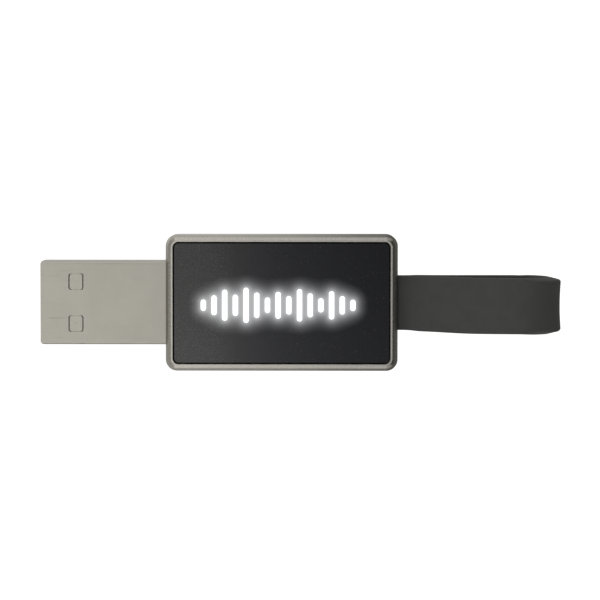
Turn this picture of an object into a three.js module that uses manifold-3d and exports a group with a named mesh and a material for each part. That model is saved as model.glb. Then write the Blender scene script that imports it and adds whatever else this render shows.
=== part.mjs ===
// A light-up USB flash drive: a die-cast metal frame holding two black panels, a Type-A plug at one end,
// a back-lit bar motif in the front panel and a silicone strap loop at the other end.
// Millimetres. The origin is the centre of the back panel's outer face, +Z points out of the front panel
// and +X points from the plug to the strap.
import * as THREE from "three";
import { mergeVertices } from "three/addons/utils/BufferGeometryUtils.js";
import Module from "manifold-3d";

const wasm = await Module();
wasm.setup();

// Driving dimensions.
const HOUSING = { length: 33.1, width: 19.47, height: 7.0, corner: 1.65 };
const RIM = { ends: 1.03, sides: 1.01 }; // from the outside to the panel openings
const EDGE_RADIUS = 1.4; // the rounded outer edge, which meets the lip before it turns level
const LIP_WIDTH = 0.24; // the level lip round each panel opening
const LEDGE = 0.8; // how far the frame's inner ledge stands in from the openings
const PANEL = { gap: 0.24, thickness: 0.9, corner: 0.6, recess: 0.15 };
const ADHESIVE = 0.15;
const PLUG = { width: 12.0, height: 4.5, reach: 17.85, buried: 4.0, wall: 0.3, corner: 0.6, mouth: 0.5 };
const WINDOW = { start: 4.0, length: 2.15, width: 2.34, spacing: 5.98, corner: 0.35 };
const WINDOW_EDGE = { slit: 0.18, arm: 0.42, crease: 0.1, creaseDepth: 0.18, corner: 0.25 };
const SEAM = { width: 0.08, depth: 0.12, key: { x: 9.5, neck: 1.6, head: 2.6, height: 1.1 } };
const TONGUE = { width: 10.9, height: 1.92, setback: 0.5, shortOfEnd: 0.5 };
const BOARD = { length: 21.4, width: 11.2, thickness: 0.8, start: -12.0 };
const STRAP = { width: 7.8, thickness: 2.0, reach: 23.2, crest: 6.4, dip: 3.35, root: 4.9 };
const STRAP_EASE = { leaving: 5.0, roundTip: 6.6, returning: 4.0 }; // how far the loop's curves run straight
const MOTIF = { x: -0.5, y: -0.3, pitch: 1.52, bar: 0.75 };
const BAR_HEIGHTS = [1.6, 2.8, 4.4, 3.0, 5.0, 3.6, 2.2, 3.8, 2.6, 4.6, 3.4, 2.0, 4.0, 2.6, 1.6];

const MID_HEIGHT = HOUSING.height / 2;
const END_X = HOUSING.length / 2;
const OPENING = { length: HOUSING.length - 2 * RIM.ends, width: HOUSING.width - 2 * RIM.sides };
const BACK_LEDGE_Z = PANEL.thickness + ADHESIVE;
const FRONT_PANEL_Z = HOUSING.height - PANEL.recess - PANEL.thickness;
const FRONT_LEDGE_Z = FRONT_PANEL_Z - ADHESIVE;
const CAVITY = { length: OPENING.length - 2 * LEDGE, width: OPENING.width - 2 * LEDGE, corner: 0.6 };
const FIT = 0.03; // the gap left between two pieces that touch
const TONGUE_UNDERSIDE_Z = MID_HEIGHT + PLUG.height / 2 - PLUG.wall - TONGUE.height - FIT;
const CONTACT = { width: 1.0, thickness: 0.15, proud: 0.06, tail: 1.4 };
const GROOVE = { depth: 0.12, endGap: 0.05 };
const BOARD_TOP_Z = TONGUE_UNDERSIDE_Z - CONTACT.proud;
const STRAP_PIN = { x: 13.2, radius: 0.8 };
const PAST = 1.0; // how far a cutting tool runs past what it cuts

// Materials.
function material(color, roughness, metalness = 0) {
  return new THREE.MeshStandardMaterial({ color, roughness, metalness });
}
const SATIN_NICKEL = material(0xa5a29a, 0.35, 1);
const PLUG_STEEL = material(0xa8a59c, 0.3, 1);
const PIN_STEEL = material(0xb8b8ba, 0.25, 1);
const GLOSS_BLACK = material(0x1b1b1e, 0.15);
const MILKY_ACRYLIC = material(0xf4f6fa, 0.4);
const DIFFUSER_FILM = material(0xeeeeea, 0.6);
const ADHESIVE_TAPE = material(0x2a2a2a, 0.9);
const CARRIER_PLASTIC = material(0x202124, 0.55);
const TONGUE_PLASTIC = material(0xa3a097, 0.5);
const CONTACT_GOLD = material(0xd9b25a, 0.25, 1);
const SOLDER_MASK = material(0x14502c, 0.45);
const CHIP_EPOXY = material(0x1c1c1e, 0.7);
const CRYSTAL_CAN = material(0xc2c3c6, 0.25, 1);
const LED_BODY = material(0xf3efd8, 0.4);
const RESISTOR_CERAMIC = material(0x17181a, 0.5);
const CAPACITOR_CERAMIC = material(0x8a6a4a, 0.5);
const BLACK_SILICONE = material(0x363636, 0.75);

// Turning three.js geometry into closed solids and back.
function solidOf(geometry) {
  const bare = new THREE.BufferGeometry();
  bare.setAttribute("position", geometry.getAttribute("position"));
  bare.setIndex(geometry.index);
  const merged = mergeVertices(bare, 1e-4);
  const triVerts = new Uint32Array(merged.index.array);
  const vertProperties = merged.attributes.position.array;
  return new wasm.Manifold(new wasm.Mesh({ numProp: 3, vertProperties, triVerts }));
}

function geometryOf(solid) {
  const { vertProperties, triVerts } = solid.getMesh();
  const geometry = new THREE.BufferGeometry();
  geometry.setAttribute("position", new THREE.BufferAttribute(vertProperties, 3));
  geometry.setIndex(new THREE.BufferAttribute(triVerts, 1));
  geometry.computeVertexNormals();
  return geometry;
}

function cut(base, ...tools) {
  return geometryOf(tools.reduce((left, tool) => left.subtract(solidOf(tool)), solidOf(base)));
}

function join(...pieces) {
  return geometryOf(pieces.map(solidOf).reduce((whole, piece) => whole.add(piece)));
}

// Outlines and basic bodies.
function roundedRectangle(width, height, radius) {
  const x = width / 2 - radius;
  const y = height / 2 - radius;
  const shape = new THREE.Shape();
  shape.absarc(x, y, radius, 0, Math.PI / 2);
  shape.absarc(-x, y, radius, Math.PI / 2, Math.PI);
  shape.absarc(-x, -y, radius, Math.PI, 1.5 * Math.PI);
  shape.absarc(x, -y, radius, 1.5 * Math.PI, 2 * Math.PI);
  return shape;
}

// A flat piece lying between two heights.
function plate(shape, low, high, curveSegments = 6) {
  const options = { depth: high - low, bevelEnabled: false, curveSegments };
  return new THREE.ExtrudeGeometry(shape, options).translate(0, 0, low);
}

// A box given by its two extreme corners.
function block(x0, x1, y0, y1, z0, z1) {
  const box = new THREE.BoxGeometry(x1 - x0, y1 - y0, z1 - z0);
  return box.translate((x0 + x1) / 2, (y0 + y1) / 2, (z0 + z1) / 2);
}

// A box that is symmetric about the XZ plane.
function slab(x0, x1, width, z0, z1) {
  return block(x0, x1, -width / 2, width / 2, z0, z1);
}

function uprightCylinder(x, radius, z0, z1) {
  const cylinder = new THREE.CylinderGeometry(radius, radius, z1 - z0, 24).rotateX(Math.PI / 2);
  return cylinder.translate(x, 0, (z0 + z1) / 2);
}

// Puts an extrusion's outline in the YZ plane and its length along +X, starting at x.
const ALONG_X = new THREE.Matrix4().makeBasis(
  new THREE.Vector3(0, 1, 0),
  new THREE.Vector3(0, 0, 1),
  new THREE.Vector3(1, 0, 0),
);
function barAlongX(shape, x, length) {
  return plate(shape, 0, length).applyMatrix4(ALONG_X).translate(x, 0, 0);
}

// Puts an extrusion's outline in the XZ plane, centred across the width.
const ACROSS_Y = new THREE.Matrix4().makeBasis(
  new THREE.Vector3(1, 0, 0),
  new THREE.Vector3(0, 0, 1),
  new THREE.Vector3(0, -1, 0),
);
function bandAcrossY(shape, width) {
  return plate(shape, -width / 2, width / 2, 16).applyMatrix4(ACROSS_Y);
}

function piece(name, geometry, surface, position = [0, 0, 0]) {
  const mesh = new THREE.Mesh(geometry, surface);
  mesh.name = name;
  mesh.position.set(...position);
  return mesh;
}

// The metal frame: rounded outside, an opening with a raised lip on each side, a ledge between them, and a
// slot through each end wall.
function metalFrame() {
  const { length, width, height, corner } = HOUSING;
  const outside = new THREE.ExtrudeGeometry(roundedRectangle(length, width, corner), {
    depth: height - 2 * EDGE_RADIUS,
    bevelThickness: EDGE_RADIUS,
    bevelSize: EDGE_RADIUS,
    bevelOffset: -EDGE_RADIUS,
    bevelSegments: 10,
    curveSegments: 8,
  }).translate(0, 0, EDGE_RADIUS);
  const openingCorner = PANEL.corner + PANEL.gap;
  const ring = (grow) => {
    return roundedRectangle(OPENING.length + 2 * grow, OPENING.width + 2 * grow, openingCorner + grow);
  };
  const slotClearance = 0.1;
  const plugSlot = roundedRectangle(PLUG.width + slotClearance, PLUG.height + slotClearance, PLUG.corner);
  const strapSlot = roundedRectangle(STRAP.width + 0.3, 2 * STRAP.thickness + 0.3, 0.4);
  return cut(
    join(outside, plate(ring(LIP_WIDTH), 0, height, 8)),
    plate(ring(0), -PAST, BACK_LEDGE_Z, 8),
    plate(ring(0), FRONT_LEDGE_Z, height + PAST, 8),
    plate(roundedRectangle(CAVITY.length, CAVITY.width, CAVITY.corner), 0, height),
    barAlongX(plugSlot, -END_X - PAST, PAST + 3).translate(0, 0, MID_HEIGHT),
    barAlongX(strapSlot, END_X - 3, PAST + 3).translate(0, 0, MID_HEIGHT),
  );
}

// One round-ended bar of the light motif, grown or shrunk all round.
function motifBar(index, grow = 0) {
  const x = (index - (BAR_HEIGHTS.length - 1) / 2) * MOTIF.pitch;
  const radius = MOTIF.bar / 2 + grow;
  const straight = BAR_HEIGHTS[index] / 2 - MOTIF.bar / 2;
  const bar = new THREE.Shape();
  bar.absarc(x, straight, radius, 0, Math.PI);
  bar.absarc(x, -straight, radius, Math.PI, 2 * Math.PI);
  return bar;
}

const PANEL_OUTLINE = { length: OPENING.length - 2 * PANEL.gap, width: OPENING.width - 2 * PANEL.gap };
function panelShape() {
  return roundedRectangle(PANEL_OUTLINE.length, PANEL_OUTLINE.width, PANEL.corner);
}

function frontPanel() {
  const motif = BAR_HEIGHTS.map((_, i) => {
    return plate(motifBar(i), -PAST, PANEL.thickness + PAST, 8).translate(MOTIF.x, MOTIF.y, 0);
  });
  return cut(plate(panelShape(), 0, PANEL.thickness), ...motif);
}

// The milky inlay: a plate behind the panel whose raised bars fill the panel's cut-outs.
const INLAY = { length: 23.0, width: 8.0, thickness: 0.5, corner: 0.5, barRoot: 0.2 };
function lightInlay() {
  const { thickness, barRoot } = INLAY;
  const bars = BAR_HEIGHTS.map((_, i) => plate(motifBar(i, -FIT), -barRoot, PANEL.thickness, 8));
  return join(plate(inlayOutline(0, 0, INLAY.corner), -thickness, 0), ...bars);
}

// The inlay's outline, made longer and wider by these amounts.
function inlayOutline(longer, wider, corner) {
  return roundedRectangle(INLAY.length + longer, INLAY.width + wider, corner);
}

const FILM = { smaller: 0.4, corner: 0.4, thickness: 0.1, behind: 0.15 };
function diffuserFilm() {
  return plate(inlayOutline(-FILM.smaller, -FILM.smaller, FILM.corner), 0, FILM.thickness);
}

// The tape that holds a panel on its ledge, open in the middle to let the light through.
function adhesiveRing() {
  const clear = 0.04;
  const opening = { longer: 0.4, wider: 1.2, corner: 0.5 };
  const outer = roundedRectangle(OPENING.length - clear, OPENING.width - clear, PANEL.corner + PANEL.gap);
  const inner = plate(inlayOutline(opening.longer, opening.wider, opening.corner), -PAST, PAST);
  return cut(plate(outer, 0, ADHESIVE), inner.translate(MOTIF.x, MOTIF.y, 0));
}

// The two carrier halves, which hold the board, the strap's end and its pin inside the frame.
const CARRIER = { start: -12.1, end: 14.2, width: 15.0, split: 3.42, halfGap: 0.02, pinHole: 0.85 };
const POCKET = {
  board: { end: 9.6, width: BOARD.width + 0.3, shelf: 0.5, floor: BACK_LEDGE_Z + 0.35, roof: 5.0 },
  plug: { end: -10.0, width: PLUG.width + 0.4, floor: 2.0 },
  strap: { start: 11.2, width: STRAP.width + 0.3, floor: 1.43, roof: 5.57 },
  light: { longer: 0.4, wider: 0.4, corner: 0.6 },
};
function carrierLower() {
  const { board, plug, strap } = POCKET;
  const past = CARRIER.start - PAST;
  const shelfTop = BOARD_TOP_Z - BOARD.thickness - CARRIER.halfGap;
  return cut(
    slab(CARRIER.start, CARRIER.end, CARRIER.width, BACK_LEDGE_Z, CARRIER.split - CARRIER.halfGap),
    slab(past, board.end, board.width, shelfTop, HOUSING.height),
    slab(past, board.end, BOARD.width - 2 * board.shelf, board.floor, HOUSING.height),
    slab(past, plug.end, plug.width, plug.floor, HOUSING.height),
    slab(strap.start, CARRIER.end + PAST, strap.width, strap.floor, HOUSING.height),
    uprightCylinder(STRAP_PIN.x, CARRIER.pinHole, 0, HOUSING.height),
  );
}

function carrierUpper() {
  const { board, plug, strap, light } = POCKET;
  const past = CARRIER.start - PAST;
  const lightWell = plate(inlayOutline(light.longer, light.wider, light.corner), 0, HOUSING.height);
  return cut(
    slab(CARRIER.start, CARRIER.end, CARRIER.width, CARRIER.split + CARRIER.halfGap, FRONT_LEDGE_Z),
    slab(past, board.end, board.width, 0, board.roof),
    slab(past, plug.end, plug.width, 0, board.roof),
    slab(strap.start, CARRIER.end + PAST, strap.width, 0, strap.roof),
    lightWell.translate(MOTIF.x, MOTIF.y, 0),
    uprightCylinder(STRAP_PIN.x, CARRIER.pinHole, 0, HOUSING.height),
  );
}

// The plug: its own frame has x = 0 at the mouth and z = 0 at mid height.
const PLUG_LENGTH = PLUG.reach + PLUG.buried;
const TONGUE_TOP = PLUG.height / 2 - PLUG.wall - FIT;
const LOCKING_TAB = { root: 0.5, length: 1.8, low: -1.1, high: 0.7 }; // holds the shell in the frame
const windowCentres = [-WINDOW.spacing / 2, WINDOW.spacing / 2];

// Cutters for a latching window. The tab inside it is sheared free along a bracket-shaped slit at each end,
// and creased between the two slits, where it stays joined.
function windowCutters(y, side) {
  const { length, width, corner, start } = WINDOW;
  const { slit, arm, crease, creaseDepth, corner: tabCorner } = WINDOW_EDGE;
  const tabOutline = roundedRectangle(length - 2 * slit, width - 2 * crease, tabCorner);
  const outline = roundedRectangle(length, width, corner);
  const tab = plate(tabOutline, -2 * PAST, 2 * PAST, 4);
  const bridge = block(arm - length / 2, length / 2 - arm, -width, width, -2 * PAST, 2 * PAST);
  const slits = cut(plate(outline, -PLUG.wall - 0.1, PAST, 4), tab, bridge);
  const creases = cut(plate(outline, -creaseDepth, PAST, 4), tab);
  return [slits, creases].map((cutter) => {
    const turned = side > 0 ? cutter : cutter.rotateX(Math.PI);
    return turned.translate(start + length / 2, y, (side * PLUG.height) / 2);
  });
}

function plugShell() {
  const { width, height, corner, wall } = PLUG;
  const inner = roundedRectangle(width - 2 * wall, height - 2 * wall, corner - wall);
  const plan = roundedRectangle(2 * PLUG_LENGTH, width, PLUG.mouth);
  const outer = solidOf(barAlongX(roundedRectangle(width, height, corner), 0, PLUG_LENGTH));
  const roundedMouth = solidOf(plate(plan, -height, height).translate(PLUG_LENGTH, 0, 0));
  const windows = windowCentres.flatMap((y) => [...windowCutters(y, 1), ...windowCutters(y, -1)]);
  const tube = cut(
    geometryOf(outer.intersect(roundedMouth)),
    barAlongX(inner, -PAST, PLUG_LENGTH + 2 * PAST),
    seamCutter(),
    ...windows,
  );
  const { root, length, low, high } = LOCKING_TAB;
  const tabs = [-1, 1].map((side) => {
    const centre = (side * (width - wall)) / 2;
    return block(PLUG_LENGTH - root, PLUG_LENGTH + length, centre - wall / 2, centre + wall / 2, low, high);
  });
  return join(tube, ...tabs);
}

// The shell is folded from one strip: its seam runs along the underside, keyed by a dovetail.
function seamCutter() {
  const { width, depth, key } = SEAM;
  const centreline = [
    [-PAST, 0],
    [key.x - key.neck / 2, 0],
    [key.x - key.head / 2, key.height],
    [key.x + key.head / 2, key.height],
    [key.x + key.neck / 2, 0],
    [PLUG_LENGTH + PAST, 0],
  ];
  const strokes = centreline.slice(1).map(([x1, y1], i) => {
    const [x0, y0] = centreline[i];
    const half = Math.hypot(x1 - x0, y1 - y0) / 2 + width / 2;
    const stroke = block(-half, half, -width / 2, width / 2, -PAST, depth);
    const turn = Math.atan2(y1 - y0, x1 - x0);
    return stroke.rotateZ(turn).translate((x0 + x1) / 2, (y0 + y1) / 2, -PLUG.height / 2);
  });
  return join(...strokes);
}

const CONTACT_ROW = [
  { name: "contact_vbus", y: 3.5, start: 1.1 },
  { name: "contact_data_minus", y: 1.0, start: 2.1 },
  { name: "contact_data_plus", y: -1.0, start: 2.1 },
  { name: "contact_ground", y: -3.5, start: 1.1 },
];

// The insulating tongue carries the contacts in open grooves on its underside.
function plugTongue() {
  const bottom = TONGUE_TOP - TONGUE.height;
  const end = PLUG_LENGTH - TONGUE.shortOfEnd;
  const grooves = CONTACT_ROW.map(({ y, start }) => {
    const half = CONTACT.width / 2 + FIT;
    const front = TONGUE.setback + start - GROOVE.endGap;
    return block(front, end + PAST, y - half, y + half, bottom - PAST, bottom + GROOVE.depth);
  });
  const body = block(TONGUE.setback, end, -TONGUE.width / 2, TONGUE.width / 2, bottom, TONGUE_TOP);
  return cut(body, ...grooves);
}

function contact({ name, y, start }) {
  const bottom = TONGUE_TOP - TONGUE.height - CONTACT.proud;
  const length = PLUG_LENGTH + CONTACT.tail - TONGUE.setback - start;
  const strip = new THREE.BoxGeometry(length, CONTACT.width, CONTACT.thickness);
  const x = TONGUE.setback + start + length / 2;
  return piece(name, strip, CONTACT_GOLD, [x, y, bottom + CONTACT.thickness / 2]);
}

function plugGroup() {
  const group = new THREE.Group();
  group.position.set(-END_X - PLUG.reach, 0, MID_HEIGHT);
  group.add(piece("plug_shell", plugShell(), PLUG_STEEL));
  group.add(piece("plug_tongue", plugTongue(), TONGUE_PLASTIC));
  group.add(...CONTACT_ROW.map(contact));
  return group;
}

// The circuit board and what is soldered to it: its own frame has z = 0 at the board's upper face.
const SOLDER = 0.03;
function chip(name, surface, x, y, size, side = 1) {
  const body = new THREE.BoxGeometry(...size);
  const rest = side > 0 ? SOLDER + size[2] / 2 : -BOARD.thickness - SOLDER - size[2] / 2;
  return piece(name, body, surface, [x, y, rest]);
}

// A flat-topped package with one corner cut off, which marks its first pin.
function markedChip(name, x, size) {
  const [length, width, height] = size;
  const bevel = 0.6;
  const shape = new THREE.Shape();
  shape.moveTo(-length / 2 + bevel, -width / 2);
  shape.lineTo(length / 2, -width / 2);
  shape.lineTo(length / 2, width / 2);
  shape.lineTo(-length / 2, width / 2);
  shape.lineTo(-length / 2, -width / 2 + bevel);
  const top = -BOARD.thickness - SOLDER;
  return piece(name, plate(shape, -height, 0), CHIP_EPOXY, [x, 0, top]);
}

function boardGroup() {
  const { length, width, thickness, start } = BOARD;
  const group = new THREE.Group();
  group.position.set(0, 0, BOARD_TOP_Z);
  group.add(piece("circuit_board", slab(start, start + length, width, -thickness, 0), SOLDER_MASK));
  group.add(markedChip("controller_chip", -7.6, [6.0, 6.0, 0.8]));
  group.add(markedChip("flash_chip", 2.6, [11.5, 9.8, 1.0]));
  group.add(chip("crystal", CRYSTAL_CAN, -3.7, 3.6, [3.2, 2.5, 0.7]));
  [-7.0, 0.0, 7.0].forEach((x, i) => {
    group.add(chip(`led_${i + 1}`, LED_BODY, x, MOTIF.y, [2.0, 1.25, 0.8]));
    group.add(chip(`led_resistor_${i + 1}`, RESISTOR_CERAMIC, x, -3.6, [1.6, 0.8, 0.45]));
  });
  [-7.6, 0.4, 3.4, 6.4].forEach((x, i) => {
    group.add(chip(`capacitor_${i + 1}`, CAPACITOR_CERAMIC, x, 4.0, [1.6, 0.8, 0.7]));
  });
  return group;
}

// The strap: its own frame has x = 0 at the frame's end face and z = 0 at mid height.
// Two plies leave the slot one on the other, and part into a loop that is fuller above than below.
const PLY = STRAP.thickness / 2; // from a ply's centreline to its surface
const FLEX_X = 2.3; // where the strap bends, out from the end face
const SEAT_GAP = 0.3;
const TIP_RADIUS = (STRAP.crest + STRAP.dip - 2 * PLY) / 2;

// The loop's centreline, out along the upper ply, round the tip and back along the lower one.
function loopCentreline() {
  const { leaving, roundTip, returning } = STRAP_EASE;
  const crestZ = STRAP.crest - PLY;
  const dipZ = -STRAP.dip + PLY;
  const tipX = STRAP.reach - PLY;
  const bendX = tipX - TIP_RADIUS;
  const path = new THREE.Path();
  path.moveTo(FLEX_X, PLY);
  path.bezierCurveTo(FLEX_X + leaving, PLY, bendX - roundTip, crestZ, bendX, crestZ);
  path.absarc(bendX, (crestZ + dipZ) / 2, TIP_RADIUS, Math.PI / 2, -Math.PI / 2, true);
  path.bezierCurveTo(bendX - roundTip, dipZ, FLEX_X + returning, -PLY, FLEX_X, -PLY);
  return path;
}

// The centreline's points, moved sideways: outwards for a positive distance.
function offsetLine(path, distance, count) {
  return Array.from({ length: count + 1 }, (_, i) => {
    const at = path.getPointAt(i / count);
    const along = path.getTangentAt(i / count);
    return new THREE.Vector2(at.x - along.y * distance, at.y + along.x * distance);
  });
}

function strapLoop() {
  const path = loopCentreline();
  const steps = 72;
  const shape = new THREE.Shape(offsetLine(path, PLY, steps));
  shape.absarc(FLEX_X, 0, 2 * PLY, 1.5 * Math.PI, 0.5 * Math.PI, true);
  const plyGap = 0.06;
  const solidEnd = FLEX_X + 1;
  const inside = offsetLine(path, -PLY, steps).filter((p) => p.x > solidEnd && Math.abs(p.y) > plyGap);
  const hole = new THREE.Shape(inside);
  return cut(bandAcrossY(shape, STRAP.width), bandAcrossY(hole, STRAP.width + 2 * PAST));
}

// The two plies inside the frame, ending in a hollow that the loop's rounded end turns in.
const SEAT = { reach: 1.7, back: 0.35 };
function strapRoot() {
  const seat = 2 * PLY + SEAT_GAP;
  const reach = Math.acos(SEAT.reach / seat);
  const shape = new THREE.Shape();
  shape.moveTo(SEAT.back, 2 * PLY);
  shape.lineTo(-STRAP.root, 2 * PLY);
  shape.lineTo(-STRAP.root, -2 * PLY);
  shape.lineTo(SEAT.back, -2 * PLY);
  shape.absarc(FLEX_X, 0, seat, 1.5 * Math.PI - reach, 0.5 * Math.PI + reach, true);
  const pinHole = uprightCylinder(STRAP_PIN.x - END_X, CARRIER.pinHole, -MID_HEIGHT, MID_HEIGHT);
  return cut(bandAcrossY(shape, STRAP.width), pinHole);
}

function strapGroup() {
  const group = new THREE.Group();
  group.position.set(END_X, 0, MID_HEIGHT);
  group.add(piece("strap_root", strapRoot(), BLACK_SILICONE));
  group.add(piece("strap_loop", strapLoop(), BLACK_SILICONE));
  return group;
}

function housingGroup() {
  const group = new THREE.Group();
  const pin = uprightCylinder(STRAP_PIN.x, STRAP_PIN.radius, BACK_LEDGE_Z, FRONT_LEDGE_Z);
  const behindInlay = FRONT_PANEL_Z - INLAY.thickness - FILM.behind;
  group.add(
    piece("metal_frame", metalFrame(), SATIN_NICKEL),
    piece("back_panel", plate(panelShape(), 0, PANEL.thickness), GLOSS_BLACK),
    piece("back_adhesive", adhesiveRing(), ADHESIVE_TAPE, [0, 0, PANEL.thickness]),
    piece("front_adhesive", adhesiveRing(), ADHESIVE_TAPE, [0, 0, FRONT_LEDGE_Z]),
    piece("front_panel", frontPanel(), GLOSS_BLACK, [0, 0, FRONT_PANEL_Z]),
    piece("light_inlay", lightInlay(), MILKY_ACRYLIC, [MOTIF.x, MOTIF.y, FRONT_PANEL_Z]),
    piece("diffuser_film", diffuserFilm(), DIFFUSER_FILM, [MOTIF.x, MOTIF.y, behindInlay]),
    piece("carrier_lower", carrierLower(), CARRIER_PLASTIC),
    piece("carrier_upper", carrierUpper(), CARRIER_PLASTIC),
    piece("strap_pin", pin, PIN_STEEL),
  );
  return group;
}

const drive = new THREE.Group();
drive.add(housingGroup(), plugGroup(), boardGroup(), strapGroup());

export default drive;
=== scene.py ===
"""A USB flash drive with a lit front panel and a strap loop, seen from above over a white table."""
import math

import bmesh
import bpy
from mathutils import Matrix, Vector


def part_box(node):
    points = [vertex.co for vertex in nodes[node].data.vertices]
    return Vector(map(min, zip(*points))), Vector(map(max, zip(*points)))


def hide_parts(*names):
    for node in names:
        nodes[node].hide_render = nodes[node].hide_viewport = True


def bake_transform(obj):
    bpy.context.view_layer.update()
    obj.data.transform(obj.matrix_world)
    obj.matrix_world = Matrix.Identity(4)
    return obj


MM = 0.001

# Camera: above the drive, leaning a little towards +Y.
LENS_DISTANCE = 0.4
VIEW_WIDTH = 86.03 * MM
SENSOR = 36.0
AIM = (2.61 * MM, 0.286 * MM, 3.5 * MM)
LEAN = math.radians(2.9)
ROLL = math.radians(0.06)

# The lit bars, as they are cut in the front panel, and the diodes behind them (millimetres).
MOTIF_X = -0.5
MOTIF_Y = -0.3
BAR_PITCH = 1.52
BAR_WIDTH = 0.75
BAR_HEIGHTS = (1.6, 2.8, 4.4, 3.0, 5.0, 3.6, 2.2, 3.8, 2.6, 4.6, 3.4, 2.0, 4.0, 2.6, 1.6)
DIODE_PITCH = 7.0

# The glow round the bars: how far it reaches (millimetres), how strong it is, and what is taken off it so
# that it ends.
GLOW_REACH = 0.55
GLOW_LEVEL = 0.40
GLOW_FLOOR = 0.014

# Where along X the dust on the panel thins out, and where the film under it does (millimetres).
DUST_EDGE = (-9.5, -7.0)
FILM_EDGE = (-9.0, -6.0)

# Scratches on the plug (millimetres): how far they waver, and over what length they start and fade out.
SCRATCH_WAVER = 0.08
SCRATCH_START = 0.1
SCRATCH_FADE = 0.8

# Where the strap is painted paler as light, from the loop's end, and painted darker as shade by the slot,
# from the housing's end (millimetres).
TIP_LIGHT_BAND = (-5.5, -1.8)
SLOT_SHADE_BAND = (-0.5, 2.2)

# CAD nodes: how far apart split vertices are (metres), which edges are sharp, and how those are rounded.
MERGE_DISTANCE = 0.001 * MM
SHARP_ANGLE = math.radians(30)
BEVEL_ANGLE = math.radians(35)
BEVEL_SEGMENTS = 3

# The strap's section (millimetres). Rubber narrows outside a bend and widens inside it, and its edges curl.
STRAP_WIDTH = 7.7
STRAP_THICKNESS = 1.97
STRAP_CORNER = 0.28
OUTER_PULL = 0.40
INNER_PUSH = 0.08
EDGE_CURL = 0.60

# The strap's route (millimetres): two plies leave the housing one on the other and part into a loop.
PLY_OFFSET = 1.0
STRAP_INSIDE = 4.8
FLEX_OUT = 2.3
MID_HEIGHT = 3.5
LOOP_CREST = 6.4
LOOP_DIP = 3.35
LOOP_REACH = 23.2
EASE_LEAVING = 5.0
EASE_ROUND_TIP = 6.6
EASE_RETURNING = 4.0
STRAIGHT_STEPS = 12
CURVE_STEPS = 40
ROUTE_STEP = 0.22
EASING_PASSES = 12

# The strap lies a little off the middle, and up to SKEW_END along X its upper ply leans to -Y and widens
# (millimetres). That fades away again over TIP_SHARE of the route, counted from the upper ply's end.
STRAP_OFFSET = -0.05
CREST_SKEW = 0.28
CREST_SPREAD = 0.036
SKEW_END = 28.0
TIP_SHARE = (0.46, 0.62)

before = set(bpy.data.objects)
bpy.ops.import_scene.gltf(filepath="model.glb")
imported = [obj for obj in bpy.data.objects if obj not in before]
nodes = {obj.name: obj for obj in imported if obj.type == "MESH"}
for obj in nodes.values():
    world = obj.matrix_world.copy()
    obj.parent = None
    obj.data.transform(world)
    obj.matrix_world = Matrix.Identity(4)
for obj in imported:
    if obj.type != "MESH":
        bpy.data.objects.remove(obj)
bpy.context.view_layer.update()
housing_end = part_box("metal_frame")[1].x / MM
plug_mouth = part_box("plug_shell")[0].x / MM


# ---------------------------------------------------------------- node graphs
class Graph:
    """A node tree built by short calls. An input is linked if it is a socket, and set if it is a value."""

    def __init__(self, tree):
        self.tree = tree
        tree.nodes.clear()

    def add(self, kind, inputs=None, **settings):
        node = self.tree.nodes.new(kind)
        for name, value in settings.items():
            setattr(node, name, value)
        for name, value in (inputs or {}).items():
            if isinstance(value, bpy.types.NodeSocket):
                self.tree.links.new(value, node.inputs[name])
            else:
                node.inputs[name].default_value = value
        return node

    def math(self, operation, *values, clamp=False):
        inputs = dict(enumerate(values))
        return self.add("ShaderNodeMath", inputs, operation=operation, use_clamp=clamp).outputs[0]

    def total(self, values):
        """The sum of several values."""
        result = 0.0
        for value in values:
            result = self.math("ADD", result, value)
        return result

    def ramp(self, value, low, high, to_low=0.0, to_high=1.0):
        """value, eased from to_low at low to to_high at high."""
        inputs = {0: value, 1: low, 2: high, 3: to_low, 4: to_high}
        return self.add("ShaderNodeMapRange", inputs, interpolation_type="SMOOTHSTEP").outputs[0]

    def profile(self, value, points):
        """A curve over value that eases from each (value, level) point to the next."""
        level = points[0][1]
        for (low, _), (high, to_level) in zip(points, points[1:]):
            level = self.ramp(value, low, high, level, to_level)
        return level

    def mix(self, factor, first, second):
        node = self.add("ShaderNodeMix", {0: factor, 6: first, 7: second}, data_type="RGBA")
        return node.outputs[2]

    def millimetres(self):
        """The point in the drive's frame, in millimetres."""
        place = self.add("ShaderNodeTexCoord").outputs["Object"]
        scale = {0: place, "Scale": 1 / MM}
        return self.add("ShaderNodeVectorMath", scale, operation="SCALE").outputs["Vector"]

    def x_and_y(self, place):
        """A point's or direction's X and Y."""
        parts = self.add("ShaderNodeSeparateXYZ", {0: place})
        return parts.outputs[0], parts.outputs[1]

    def noise(self, place, per_mm, detail=3.0, roughness=0.5, stretch=(1.0, 1.0, 1.0)):
        stretched = self.add("ShaderNodeVectorMath", {0: place, 1: stretch}, operation="MULTIPLY")
        inputs = {"Vector": stretched.outputs[0], "Scale": per_mm, "Detail": detail, "Roughness": roughness}
        return self.add("ShaderNodeTexNoise", inputs).outputs["Fac"]

    def bump(self, height, depth_mm):
        inputs = {"Height": height, "Distance": depth_mm * MM, "Strength": 1.0}
        return self.add("ShaderNodeBump", inputs).outputs["Normal"]

    def surface(self, inputs):
        """Ends a material in one Principled shader with these inputs."""
        shader = self.add("ShaderNodeBsdfPrincipled", inputs)
        self.add("ShaderNodeOutputMaterial", {"Surface": shader.outputs[0]})


def new_material(name):
    material = bpy.data.materials.new(name)
    material.use_nodes = True
    return material, Graph(material.node_tree)


def shade(tone, factor):
    """A colour made lighter or darker."""
    return (*(min(1.0, c * factor) for c in tone), 1)


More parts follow.
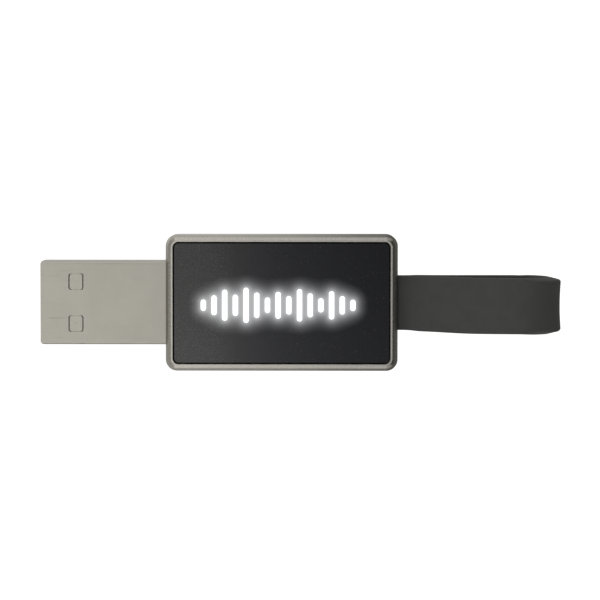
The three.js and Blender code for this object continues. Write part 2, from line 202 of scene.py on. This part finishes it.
# ---------------------------------------------------------------- materials
def scratches(g, place, lines):
    """Fine straight scratches along X, each given as its Y, its two ends in X and its half width."""
    x, y = g.x_and_y(place)
    waver = g.math("MULTIPLY", g.math("SUBTRACT", g.noise(place, 0.8), 0.5), SCRATCH_WAVER)
    wavy = g.math("ADD", y, waver)
    strokes = []
    for at, start, end, half in lines:
        off = g.math("ABSOLUTE", g.math("SUBTRACT", wavy, at))
        line = g.ramp(off, 0.0, half, 1.0, 0.0)
        started = g.ramp(x, start - SCRATCH_START, start + SCRATCH_START)
        fading = g.ramp(x, end - SCRATCH_FADE, end, 1.0, 0.0)
        strokes.append(g.math("MULTIPLY", line, g.math("MULTIPLY", started, fading)))
    return g.math("MINIMUM", g.total(strokes), 1.0)


def satin_metal(name, tone, roughness, scuff, lines=()):
    """Bead-blasted nickel: a fine grain, slight cloudiness, and scuffs that run along X."""
    material, g = new_material(name)
    place = g.millimetres()
    grain = g.noise(place, 14.0, detail=2.0)
    cloud = g.noise(place, 0.25)
    streaks = g.noise(place, 1.0, detail=4.0, roughness=0.7, stretch=(0.12, 6.0, 6.0))
    rubbed = scratches(g, place, lines)
    marks = g.math("MAXIMUM", g.ramp(streaks, 0.60, 0.72), rubbed)
    darker = g.math("MAXIMUM", g.math("MULTIPLY", marks, 4 * scuff, clamp=True), rubbed)
    base = g.mix(g.ramp(cloud, 0.3, 0.7), shade(tone, 0.975), shade(tone, 1.025))
    grainy = g.ramp(grain, 0.2, 0.8, roughness - 0.04, roughness + 0.05)
    g.surface({
        "Base Color": g.mix(darker, base, shade(tone, 0.80)),
        "Metallic": 1.0,
        "Roughness": g.math("ADD", grainy, g.math("MULTIPLY", marks, scuff)),
        "Normal": g.bump(g.math("ADD", grain, g.math("MULTIPLY", marks, -scuff)), 0.0022),
    })
    return material


def capsule_distance(g, x, y, index):
    """Distance in millimetres from one bar's edge, negative inside it."""
    centre = MOTIF_X + (index - (len(BAR_HEIGHTS) - 1) / 2) * BAR_PITCH
    straight = (BAR_HEIGHTS[index] - BAR_WIDTH) / 2
    across = g.math("SUBTRACT", x, centre)
    along = g.math("MAXIMUM", g.math("SUBTRACT", g.math("ABSOLUTE", y), straight), 0.0)
    square = g.math("ADD", g.math("MULTIPLY", across, across), g.math("MULTIPLY", along, along))
    return g.math("SUBTRACT", g.math("SQRT", square), BAR_WIDTH / 2)


def bar_glow(g, x, y):
    """Light that bleeds out of the bars through the acrylic: the sum of a soft edge round each of them."""
    edges = []
    for index in range(len(BAR_HEIGHTS)):
        outside = g.math("MAXIMUM", capsule_distance(g, x, y, index), 0.0)
        edges.append(g.math("EXPONENT", g.math("MULTIPLY", outside, -1 / GLOW_REACH)))
    level = g.math("MULTIPLY", g.total(edges), GLOW_LEVEL)
    return g.math("MAXIMUM", g.math("SUBTRACT", level, GLOW_FLOOR), 0.0)


def dust(g, place, x):
    """Sparse round specks, most of them on the plug's side of the panel."""
    cells = g.add("ShaderNodeTexVoronoi", {"Vector": place, "Scale": 4.0}, voronoi_dimensions="2D")
    chance, size, _ = g.add("ShaderNodeSeparateColor", {0: cells.outputs["Color"]}).outputs
    present = g.math("LESS_THAN", chance, g.ramp(x, *DUST_EDGE, 0.4, 0.03))
    radius = g.ramp(size, 0.0, 1.0, 0.10, 0.34)
    dot = g.math("SUBTRACT", 1.0, g.math("DIVIDE", cells.outputs["Distance"], radius), clamp=True)
    return g.math("MULTIPLY", present, dot)


def gloss_black(name, lit):
    """Polished black acrylic with dust on it and, where it is lit, light bleeding out round the bars."""
    material, g = new_material(name)
    place = g.millimetres()
    x, y = g.x_and_y(place)
    haze = g.noise(place, 9.0, detail=4.0)
    smear = g.ramp(g.noise(place, 2.6, roughness=0.8), 0.35, 0.70)
    film = g.math("MULTIPLY", smear, g.ramp(x, *FILM_EDGE, 0.08, 0.02))
    dusty = g.math("MAXIMUM", g.math("MULTIPLY", dust(g, place, x), 0.5), film)
    inputs = {
        "Base Color": g.mix(dusty, (0.005, 0.0055, 0.007, 1), (0.25, 0.25, 0.25, 1)),
        "Roughness": g.ramp(haze, 0.3, 0.7, 0.05, 0.09),
        "IOR": 1.49,
        "Normal": g.bump(haze, 0.0004),
    }
    if lit:
        inputs["Emission Color"] = (0.98, 0.985, 1.0, 1)
        inputs["Emission Strength"] = bar_glow(g, x, g.math("SUBTRACT", y, MOTIF_Y))
    g.surface(inputs)
    return material


def milky_acrylic():
    """The lit bars: white light that is a little stronger over the diodes."""
    material, g = new_material("milky_acrylic")
    place = g.millimetres()
    x, _ = g.x_and_y(place)
    ripple = g.math("COSINE", g.math("MULTIPLY", x, 2 * math.pi / DIODE_PITCH))
    g.surface({
        "Base Color": (0.55, 0.56, 0.57, 1),
        "Roughness": g.ramp(g.noise(place, 6.0), 0.3, 0.7, 0.3, 0.4),
        "Emission Color": (0.96, 0.985, 1.0, 1),
        "Emission Strength": g.math("ADD", 1.05, g.math("MULTIPLY", ripple, 0.06)),
    })
    return material


def plain(name, tone, roughness, metallic=0.0, depth=0.003):
    """A moulded or plated surface with mottled tone, uneven roughness and a fine bump."""
    material, g = new_material(name)
    place = g.millimetres()
    mottle = g.noise(place, 5.0)
    fine = g.noise(place, 20.0, detail=2.0)
    g.surface({
        "Base Color": g.mix(g.ramp(mottle, 0.3, 0.7), shade(tone, 0.88), shade(tone, 1.12)),
        "Metallic": metallic,
        "Roughness": g.ramp(fine, 0.3, 0.7, roughness - 0.05, roughness + 0.05),
        "Normal": g.bump(fine, depth),
    })
    return material


def silicone():
    """Matte black silicone with a fine moulded texture and a trace of lint.

    It is painted darker near the slot as shade, and painted paler towards the loop's end as light.
    """
    material, g = new_material("black_silicone")
    place = g.millimetres()
    x, _ = g.x_and_y(place)
    texture = g.noise(place, 11.0, roughness=0.6)
    cloud = g.noise(place, 0.5)
    lint = g.ramp(g.noise(place, 7.0, detail=1.0), 0.70, 0.76)
    mottled = g.mix(g.ramp(cloud, 0.3, 0.7), (0.064, 0.064, 0.064, 1), (0.071, 0.071, 0.071, 1))
    # Painted light: the strap is made paler towards the loop's end.
    stretched = g.ramp(x, *(housing_end + LOOP_REACH + edge for edge in TIP_LIGHT_BAND))
    # Painted shade: the strap is made darker where it leaves the slot.
    slot_shade = g.ramp(x, *(housing_end + edge for edge in SLOT_SHADE_BAND), 0.8, 0.0)
    tone = g.mix(slot_shade, g.mix(stretched, mottled, (0.088, 0.088, 0.087, 1)), (0.036, 0.036, 0.036, 1))
    g.surface({
        "Base Color": g.mix(g.math("MULTIPLY", lint, 0.25), tone, (0.2, 0.2, 0.2, 1)),
        "Roughness": g.ramp(texture, 0.3, 0.7, 0.55, 0.68),
        "IOR": 1.43,
        "Sheen Weight": 0.12,
        "Sheen Roughness": 0.5,
        "Normal": g.bump(texture, 0.006),
    })
    return material


# ---------------------------------------------------------------- CAD nodes
def soften_group():
    """Joins split vertices and shades smoothly, with edges over SHARP_ANGLE kept sharp."""
    tree = bpy.data.node_groups.new("soften", "GeometryNodeTree")
    tree.interface.new_socket("Geometry", in_out="INPUT", socket_type="NodeSocketGeometry")
    tree.interface.new_socket("Geometry", in_out="OUTPUT", socket_type="NodeSocketGeometry")
    g = Graph(tree)
    start = g.add("NodeGroupInput").outputs[0]
    merged = g.add("GeometryNodeMergeByDistance", {"Geometry": start, "Distance": MERGE_DISTANCE})
    smooth = g.add("GeometryNodeSetShadeSmooth", {"Geometry": merged.outputs[0], "Shade Smooth": True})
    angle = g.add("GeometryNodeInputMeshEdgeAngle").outputs["Unsigned Angle"]
    sharp = g.math("GREATER_THAN", angle, SHARP_ANGLE)
    edged = g.add(
        "GeometryNodeSetShadeSmooth",
        {"Geometry": smooth.outputs[0], "Selection": sharp, "Shade Smooth": False},
        domain="EDGE",
    )
    g.add("NodeGroupOutput", {0: edged.outputs[0]})
    return tree


SOFTEN = soften_group()


def dress(names, material, edge_mm=0.0):
    """Gives CAD nodes a material and, where edge_mm is set, finely rounded edges."""
    for name in names:
        obj = nodes[name]
        for slot in obj.material_slots:
            slot.material = material
        obj.modifiers.new("soften", "NODES").node_group = SOFTEN
        if edge_mm:
            bevel = obj.modifiers.new("edges", "BEVEL")
            bevel.width = edge_mm * MM
            bevel.segments = BEVEL_SEGMENTS
            bevel.limit_method = "ANGLE"
            bevel.angle_limit = BEVEL_ANGLE
        normals = obj.modifiers.new("normals", "WEIGHTED_NORMAL")
        normals.keep_sharp = True


def numbered(start):
    """The names of the nodes that are this and a number."""
    return [name for name in nodes if name.startswith(start) and name[len(start):].isdigit()]


# Where a socket's springs have rubbed the plug, in from its mouth, and two small nicks.
INSERTION_MARKS = (
    (-2.2, plug_mouth + 1.2, plug_mouth + 3.8, 0.09),
    (-2.9, plug_mouth + 4.8, plug_mouth + 5.6, 0.13),
    (-5.8, plug_mouth + 5.7, plug_mouth + 6.6, 0.10),
    (3.75, plug_mouth + 1.0, plug_mouth + 3.2, 0.05),
    (3.95, plug_mouth, plug_mouth + 1.0, 0.06),
)


def dress_casing():
    dress(["metal_frame"], satin_metal("satin_metal", (0.485, 0.469, 0.422), 0.27, 0.05), 0.05)
    dress(["front_panel"], gloss_black("gloss_black_lit", True), 0.05)
    dress(["back_panel"], gloss_black("gloss_black", False), 0.05)
    dress(["light_inlay"], milky_acrylic())
    dress(["diffuser_film"], plain("diffuser_film", (0.85, 0.85, 0.83), 0.6))
    dress(["front_adhesive", "back_adhesive"], plain("adhesive_tape", (0.02, 0.02, 0.02), 0.8))
    dress(["carrier_lower", "carrier_upper"], plain("carrier_plastic", (0.03, 0.03, 0.033), 0.55))
    dress(["strap_pin"], plain("pin_steel", (0.6, 0.6, 0.61), 0.3, metallic=1.0, depth=0.001), 0.05)


def dress_plug():
    steel = satin_metal("plug_steel", (0.460, 0.445, 0.396), 0.34, 0.08, INSERTION_MARKS)
    gold = plain("contact_gold", (0.80, 0.58, 0.25), 0.28, metallic=1.0, depth=0.001)
    dress(["plug_shell"], steel, 0.03)
    dress(["plug_tongue"], plain("tongue_plastic", (0.42, 0.41, 0.38), 0.5), 0.05)
    dress([name for name in nodes if name.startswith("contact_")], gold)


def dress_board():
    epoxy = plain("chip_epoxy", (0.02, 0.02, 0.02), 0.6)
    dress(["circuit_board"], plain("solder_mask", (0.02, 0.13, 0.05), 0.4), 0.02)
    dress(["controller_chip", "flash_chip"], epoxy, 0.03)
    dress(["crystal"], plain("crystal_can", (0.7, 0.7, 0.72), 0.25, metallic=1.0), 0.1)
    dress(numbered("led_"), plain("led_body", (0.9, 0.87, 0.68), 0.35), 0.03)
    dress(numbered("led_resistor_"), plain("resistor_ceramic", (0.03, 0.03, 0.035), 0.5), 0.03)
    dress(numbered("capacitor_"), plain("capacitor_ceramic", (0.30, 0.18, 0.09), 0.5), 0.03)


dress_casing()
dress_plug()
dress_board()


# ---------------------------------------------------------------- strap
def bezier(points, t):
    a, b, c, d = (Vector(p) for p in points)
    s = 1 - t
    return a * s**3 + b * (3 * s * s * t) + c * (3 * s * t * t) + d * t**3


def strap_route():
    """The strap's middle line in the XZ plane, from the upper ply's end round to the lower ply's."""
    crest = MID_HEIGHT + LOOP_CREST - PLY_OFFSET
    dip = MID_HEIGHT - LOOP_DIP + PLY_OFFSET
    upper = MID_HEIGHT + PLY_OFFSET
    lower = MID_HEIGHT - PLY_OFFSET
    radius = (crest - dip) / 2
    bend = housing_end + LOOP_REACH - PLY_OFFSET - radius
    flex = housing_end + FLEX_OUT
    start = housing_end - STRAP_INSIDE
    straight = [start + (flex - start) * i / STRAIGHT_STEPS for i in range(STRAIGHT_STEPS)]
    shares = [i / CURVE_STEPS for i in range(CURVE_STEPS)]

    up = [(flex, upper), (flex + EASE_LEAVING, upper), (bend - EASE_ROUND_TIP, crest), (bend, crest)]
    down = [(bend, dip), (bend - EASE_ROUND_TIP, dip), (flex + EASE_RETURNING, lower), (flex, lower)]
    tip = Vector((bend, (crest + dip) / 2))
    route = [Vector((x, upper)) for x in straight]
    route += [bezier(up, t) for t in shares]
    for t in shares:
        angle = math.pi / 2 - math.pi * t
        route.append(tip + radius * Vector((math.cos(angle), math.sin(angle))))
    route += [bezier(down, t) for t in shares]
    route += [Vector((x, lower)) for x in (flex, *reversed(straight))]
    return even_route(route)


def even_route(route):
    """The same line as points about ROUTE_STEP apart, with its kinks eased."""
    length = [0.0]
    for a, b in zip(route, route[1:]):
        length.append(length[-1] + (b - a).length)
    count = round(length[-1] / ROUTE_STEP)
    even = []
    j = 0
    for i in range(count + 1):
        along = length[-1] * i / count
        while j < len(route) - 2 and length[j + 1] < along:
            j += 1
        even.append(route[j].lerp(route[j + 1], (along - length[j]) / (length[j + 1] - length[j])))
    for _ in range(EASING_PASSES):
        inner = [(even[i - 1] + 2 * even[i] + even[i + 1]) / 4 for i in range(1, count)]
        even = [even[0], *inner, even[-1]]
    return even


def strap_section(corner_steps=5, side_steps=12):
    """A rounded rectangle as (across, out) pairs, with extra points along its two long sides."""
    x = STRAP_WIDTH / 2 - STRAP_CORNER
    z = STRAP_THICKNESS / 2 - STRAP_CORNER
    points = []
    for turn, (sx, sz) in enumerate(((1, 1), (-1, 1), (-1, -1), (1, -1))):
        for i in range(corner_steps + 1):
            angle = math.pi / 2 * (turn + i / corner_steps)
            across = sx * x + STRAP_CORNER * math.cos(angle)
            points.append((across, sz * z + STRAP_CORNER * math.sin(angle)))
        if turn in (0, 2):
            sides = [1 - 2 * k / side_steps for k in range(1, side_steps)]
            points += [(sx * x * share, sz * STRAP_THICKNESS / 2) for share in sides]
    return points


def ease(share):
    """Smooth from 0 to 1 as share goes from 0 to 1, and level beyond."""
    t = min(1.0, max(0.0, share))
    return t * t * (3 - 2 * t)


def bend_at(route, i):
    """How sharply the route turns at a point, in radians per millimetre."""
    if not 2 < i < len(route) - 3:
        return 0.0
    before = (route[i] - route[i - 2]).normalized()
    after = (route[i + 2] - route[i]).normalized()
    return -before.cross(after) / ((route[i + 2] - route[i - 2]).length / 2)


def strap_ring(route, i, section):
    """The corners of the strap's section at one point of its route, in metres."""
    last = len(route) - 1
    along = (route[min(i + 1, last)] - route[max(i - 1, 0)]).normalized()
    outward = Vector((-along.y, along.x))
    bend = bend_at(route, i)
    reach = (route[i].x - housing_end) / (SKEW_END - housing_end)
    upper = ease((TIP_SHARE[1] - i / len(route)) / (TIP_SHARE[1] - TIP_SHARE[0]))
    spread = 1 + CREST_SPREAD * ease(reach) * upper
    middle = STRAP_OFFSET - CREST_SKEW * ease(reach) * upper
    ring = []
    for across, out in section:
        squeeze = OUTER_PULL if out > 0 else INNER_PUSH
        wide = across * spread * (1 - squeeze * bend * out)
        curl = EDGE_CURL * bend * (across / (STRAP_WIDTH / 2)) ** 2
        place = route[i] + outward * (out + curl)
        ring.append((place.x * MM, (wide + middle) * MM, place.y * MM))
    return ring


def build_strap():
    route = strap_route()
    section = strap_section()
    size = len(section)
    vertices = [corner for i in range(len(route)) for corner in strap_ring(route, i, section)]
    faces = []
    for first in range(0, len(vertices) - size, size):
        for k in range(size):
            a = first + k
            b = first + (k + 1) % size
            faces.append((a, b, b + size, a + size))
    faces.append(tuple(reversed(range(size))))
    faces.append(tuple(range(len(vertices) - size, len(vertices))))
    mesh = bpy.data.meshes.new("strap")
    mesh.from_pydata(vertices, [], faces)
    mesh.shade_smooth()
    mesh.set_sharp_from_angle(angle=math.radians(50))
    mesh.materials.append(silicone())
    piece = bpy.data.objects.new("strap", mesh)
    bpy.context.scene.collection.objects.link(piece)
    return piece


# The strap is built as one mesh, and the CAD strap pieces are hidden.
strap = build_strap()
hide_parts("strap_root", "strap_loop")
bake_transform(strap)


# ---------------------------------------------------------------- stage
# The floor, far enough down for the strap to hang without reaching it, and the backdrop behind it (metres).
FLOOR_HEIGHT = -26 * MM
FLOOR_SIZE = 3.0
BACKDROP_RADIUS = 2.0

# Light off the table. It grows over this stretch of Y, beside the drive, and fades over this stretch of X,
# beyond the strap (millimetres).
BOUNCE_LEVEL = 0.36
BOUNCE_GAIN = 0.26
BOUNCE_GROWS = (5.0, 11.0)
BOUNCE_FADES = (-14.0, 26.0)
BOUNCE_LEFT = 0.08

# Brightness of the sky over how far a direction points along +X: bright overhead on the plug's side, and
# dark beyond the strap. SKY_TILT multiplies it, over how far the direction points along +Y. SIDE_LIGHT is
# the least that the sky gives, over how far the direction points along Y either way. COOL_SHARE is how much
# of the light is cool instead of warm, over the direction's X.
SKY = (
    (-1.0, 0.40), (-0.45, 0.54), (-0.12, 1.45), (-0.031, 1.45), (-0.024, 0.92),
    (-0.002, 0.54), (0.03, 0.33), (0.08, 0.06), (0.40, 0.03), (0.70, 0.04), (1.0, 0.10),
)
SKY_TILT = ((-0.35, 1.0), (-0.15, 1.5), (-0.085, 1.22), (-0.02, 0.78), (0.1, 0.95))
SIDE_LIGHT = ((0.55, 0.0), (0.80, 0.52))
COOL_SHARE = ((-0.04, 0.0), (0.01, 1.0), (0.08, 1.0), (0.20, 0.0))
WARM_LIGHT = (1.0, 0.99, 0.965, 1)
COOL_LIGHT = (0.95, 0.955, 1.08, 1)


def stage_object(name, mesh, material):
    mesh.materials.append(material)
    obj = bpy.data.objects.new(name, mesh)
    bpy.context.scene.collection.objects.link(obj)
    return obj


def stage_plane(name, height, material):
    half = FLOOR_SIZE / 2
    corners = [(-half, -half, height), (half, -half, height), (half, half, height), (-half, half, height)]
    mesh = bpy.data.meshes.new(name)
    mesh.from_pydata(corners, [], [(0, 1, 2, 3)])
    return stage_object(name, mesh, material)


def glowing_stage(name, base, glow):
    """A matte stage surface that also glows, by what glow makes from the point."""
    material, g = new_material(name)
    g.surface({
        "Base Color": (base, base, base * 0.98, 1),
        "Roughness": 0.9,
        "Emission Color": (1.0, 0.995, 0.985, 1),
        "Emission Strength": glow(g, g.millimetres()),
    })
    return material


def bounce_glow(g, place):
    """Light off the table: strongest beside the plug, and weak beyond the strap."""
    x, y = g.x_and_y(place)
    gain = g.ramp(y, *BOUNCE_GROWS, 0.0, BOUNCE_GAIN)
    left = g.ramp(x, *BOUNCE_FADES, 1.0, BOUNCE_LEFT)
    return g.math("MULTIPLY", g.math("ADD", gain, BOUNCE_LEVEL), left)


def white_backdrop():
    """A dome that the camera sees behind the table from any side. It neither lights nor shades anything."""
    mesh = bpy.data.meshes.new("backdrop")
    ball = bmesh.new()
    bmesh.ops.create_uvsphere(ball, u_segments=48, v_segments=24, radius=BACKDROP_RADIUS)
    ball.to_mesh(mesh)
    ball.free()
    dome = stage_object("backdrop", mesh, glowing_stage("backdrop_white", 0.0, lambda g, place: 1.0))
    dome.visible_glossy = False
    dome.visible_diffuse = False
    dome.visible_transmission = False
    dome.visible_shadow = False


def make_floor():
    """A white table that only the camera sees, over one that only the drive sees in its reflections."""
    white = glowing_stage("table_white", 0.42, lambda g, place: 0.97)
    table = stage_plane("table", FLOOR_HEIGHT, white)
    table.visible_glossy = False
    table.visible_diffuse = False
    bounce = stage_plane("table_bounce", FLOOR_HEIGHT - MM, glowing_stage("table_grey", 0.25, bounce_glow))
    bounce.visible_camera = False
    bounce.visible_shadow = False


def make_sky():
    world = bpy.data.worlds.new("studio")
    bpy.context.scene.world = world
    world.use_nodes = True
    g = Graph(world.node_tree)
    x, y = g.x_and_y(g.add("ShaderNodeTexCoord").outputs["Generated"])
    overhead = g.math("MULTIPLY", g.profile(x, SKY), g.profile(y, SKY_TILT))
    strength = g.math("MAXIMUM", overhead, g.profile(g.math("ABSOLUTE", y), SIDE_LIGHT))
    tint = g.mix(g.profile(x, COOL_SHARE), WARM_LIGHT, COOL_LIGHT)
    sky = g.add("ShaderNodeBackground", {"Color": tint, "Strength": strength})
    g.add("ShaderNodeOutputWorld", {"Surface": sky.outputs[0]})


def make_camera():
    data = bpy.data.cameras.new("camera")
    data.sensor_width = SENSOR
    data.lens = SENSOR * LENS_DISTANCE / VIEW_WIDTH
    camera = bpy.data.objects.new("camera", data)
    bpy.context.scene.collection.objects.link(camera)
    back = Vector((0, math.sin(LEAN), math.cos(LEAN)))
    right = Vector((1, 0, 0))
    up = back.cross(right)
    turn = Matrix((right, up, back)).transposed() @ Matrix.Rotation(ROLL, 3, "Z")
    camera.matrix_world = Matrix.LocRotScale(Vector(AIM) + back * LENS_DISTANCE, turn.to_quaternion(), None)
    bpy.context.scene.camera = camera


make_floor()
white_backdrop()
make_sky()
make_camera()
bpy.context.scene.view_settings.view_transform = "Standard"
